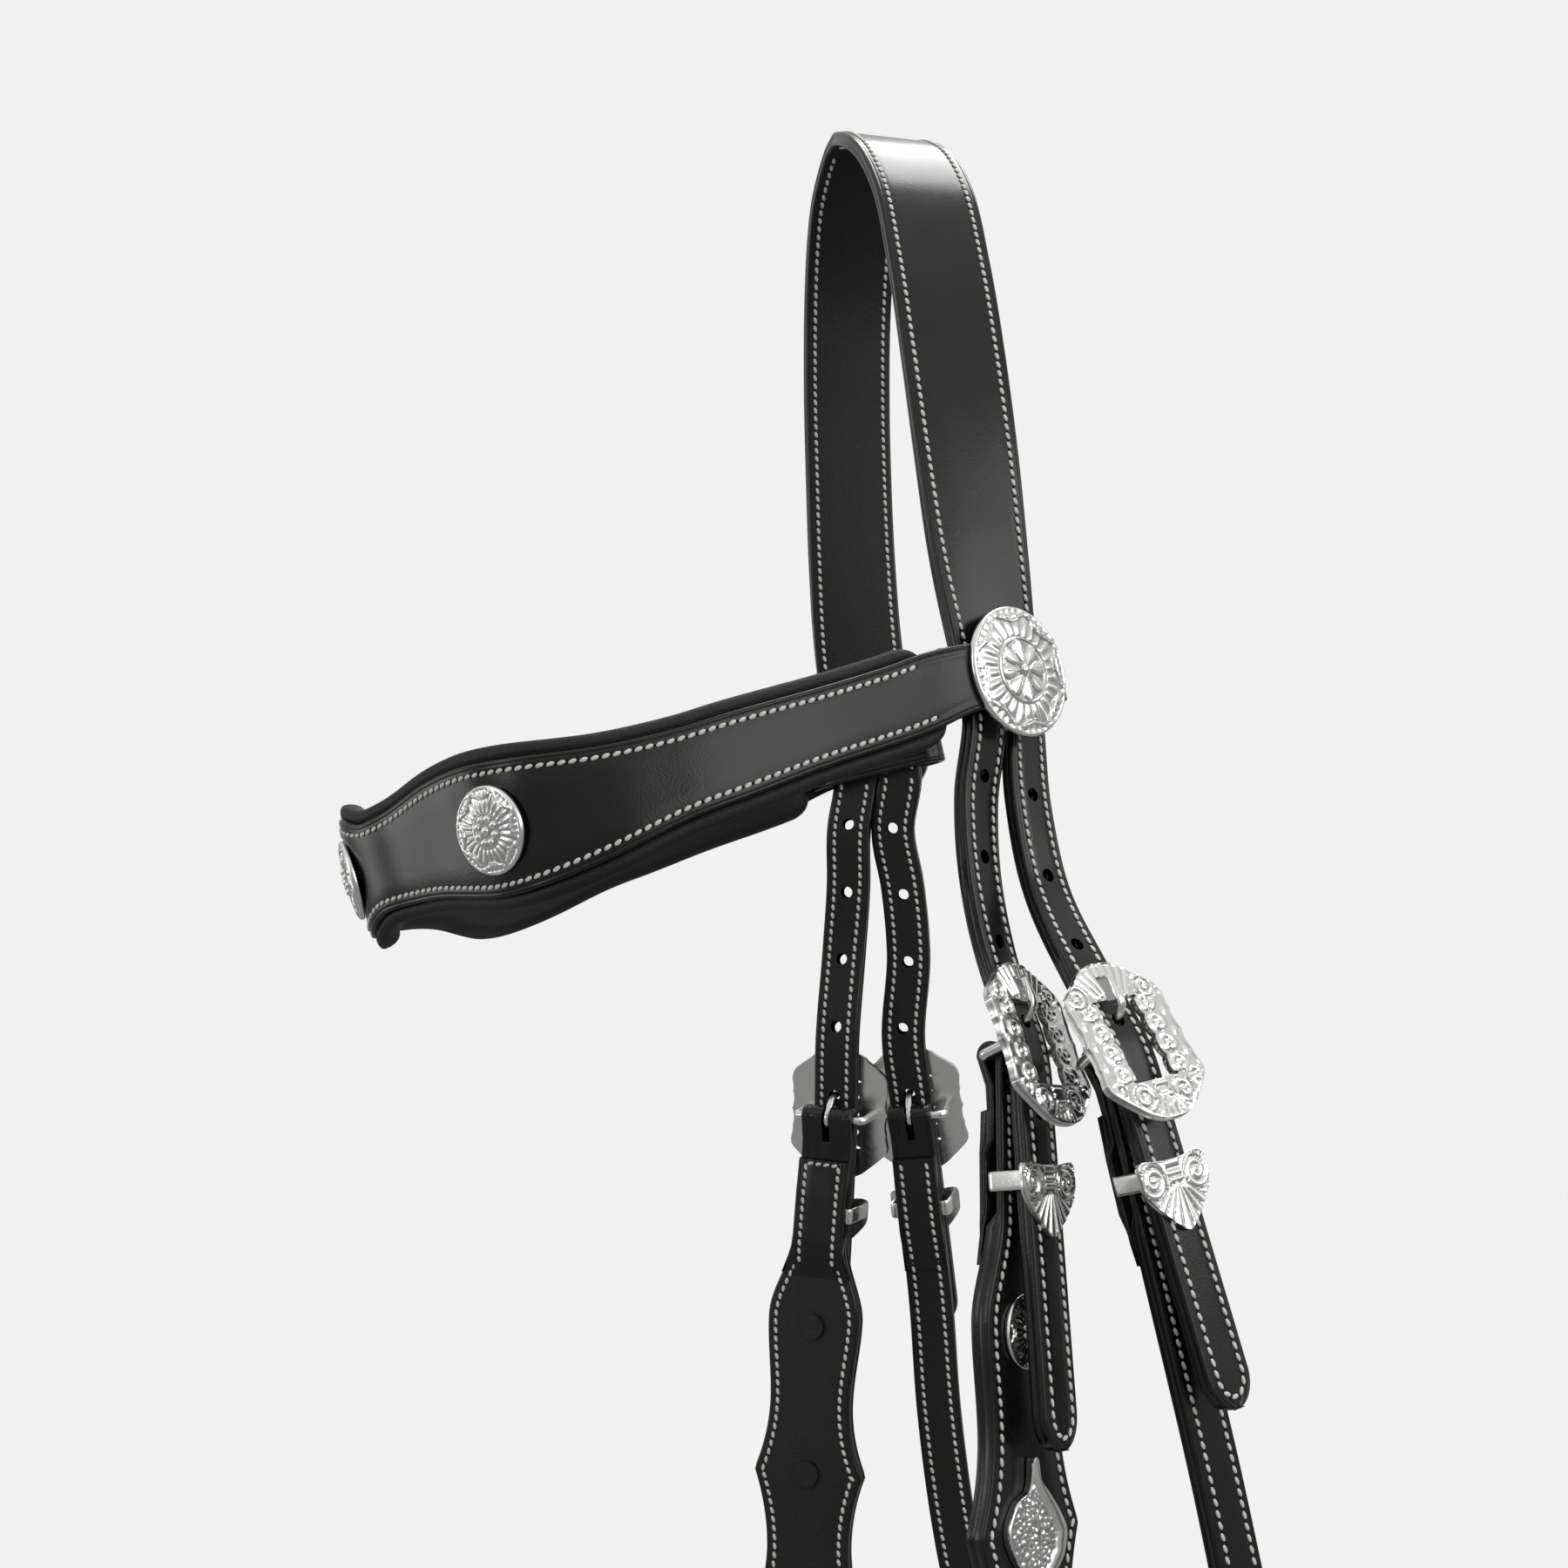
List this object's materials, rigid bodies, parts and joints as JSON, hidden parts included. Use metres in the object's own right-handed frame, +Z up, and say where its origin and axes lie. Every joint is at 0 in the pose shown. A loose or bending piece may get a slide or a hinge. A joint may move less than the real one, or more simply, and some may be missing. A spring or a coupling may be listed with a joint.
{
  "type": "horse bridle",
  "caption": "Show bridle headstall: split crown strap, wavy padded browband with round ornaments, shaped cheekpieces, throatlash, buckles and keepers.",
  "frame": {"origin": "middle of the flat under the crown strap, where the strap rests on the horse's poll", "axes": "+Z up, -Y the way the horse faces, +X the horse's left"},
  "size_m": [0.2123, 0.2709, 0.6247],
  "materials": {
    "black_leather": "polished black with white stitching",
    "soft_lining": "soft matt black lining",
    "foam": "dark grey foam core",
    "silver": "bright engraved silver-coloured metal"
  },
  "bodies": {
    "headstall": {"headpiece": "black_leather", "left_bit_screw": "silver", "left_bit_screw_cap": "silver", "left_cheek_leaf": "silver", "left_cheek_leaf_screw": "silver", "left_cheekpiece": "black_leather", "left_front_buckle": "silver", "left_lower_cheek_concho": "silver", "left_lower_cheek_concho_screw": "silver", "left_rear_buckle": "silver", "left_upper_cheek_concho": "silver", "left_upper_cheek_concho_screw": "silver", "right_bit_screw": "silver", "right_bit_screw_cap": "silver", "right_cheek_leaf": "silver", "right_cheek_leaf_screw": "silver", "right_cheekpiece": "black_leather", "right_front_buckle": "silver", "right_lower_cheek_concho": "silver", "right_lower_cheek_concho_screw": "silver", "right_rear_buckle": "silver", "right_upper_cheek_concho": "silver", "right_upper_cheek_concho_screw": "silver", "throatlash": "black_leather"},
    "browband": {"browband_centre_concho": "silver", "browband_centre_concho_screw": "silver", "browband_face": "black_leather", "browband_lining": "soft_lining", "browband_padding": "foam", "left_browband_concho": "silver", "left_browband_concho_screw": "silver", "left_rosette": "silver", "left_rosette_screw": "silver", "right_browband_concho": "silver", "right_browband_concho_screw": "silver", "right_rosette": "silver", "right_rosette_screw": "silver"},
    "left_front_tongue": {"left_front_tongue": "silver"},
    "left_front_keeper": {"left_front_keeper": "silver"},
    "left_rear_tongue": {"left_rear_tongue": "silver"},
    "left_rear_keeper": {"left_rear_keeper": "silver"},
    "right_front_tongue": {"right_front_tongue": "silver"},
    "right_front_keeper": {"right_front_keeper": "silver"},
    "right_rear_tongue": {"right_rear_tongue": "silver"},
    "right_rear_keeper": {"right_rear_keeper": "silver"}
  },
  "joints": [
    {"name": "browband_lift", "type": "hinge", "parent": "headstall", "child": "browband", "pos_m": [0, 0.0178, -0.1996], "axis": [-1, 0, 0], "range_deg": [0, 8]},
    {"name": "left_front_tongue_hinge", "type": "hinge", "parent": "headstall", "child": "left_front_tongue", "pos_m": [0.079, 0.013, -0.3124], "axis": [-0.5853, 0.8087, -0.0594], "range_deg": [0, 4]},
    {"name": "left_front_keeper_slide", "type": "slide", "parent": "headstall", "child": "left_front_keeper", "axis": [-0.1152, -0.0104, 0.9933], "range_m": [-0.004, 0.005]},
    {"name": "left_rear_tongue_hinge", "type": "hinge", "parent": "headstall", "child": "left_rear_tongue", "pos_m": [0.088, 0.0406, -0.3124], "axis": [-0.3576, 0.9202, 0.159], "range_deg": [0, 4]},
    {"name": "left_rear_keeper_slide", "type": "slide", "parent": "headstall", "child": "left_rear_keeper", "axis": [-0.1322, -0.2184, 0.9669], "range_m": [-0.004, 0.005]},
    {"name": "right_front_tongue_hinge", "type": "hinge", "parent": "headstall", "child": "right_front_tongue", "pos_m": [-0.0735, 0.0022, -0.3346], "axis": [-0.5857, -0.806, 0.0857], "range_deg": [0, 4]},
    {"name": "right_front_keeper_slide", "type": "slide", "parent": "headstall", "child": "right_front_keeper", "axis": [0.1052, 0.0293, 0.994], "range_m": [-0.004, 0.005]},
    {"name": "right_rear_tongue_hinge", "type": "hinge", "parent": "headstall", "child": "right_rear_tongue", "pos_m": [-0.0785, 0.0346, -0.3346], "axis": [-0.4751, -0.8761, -0.0814], "range_deg": [0, 4]},
    {"name": "right_rear_keeper_slide", "type": "slide", "parent": "headstall", "child": "right_rear_keeper", "axis": [0.1097, -0.1507, 0.9825], "range_m": [-0.004, 0.005]}
  ]
}
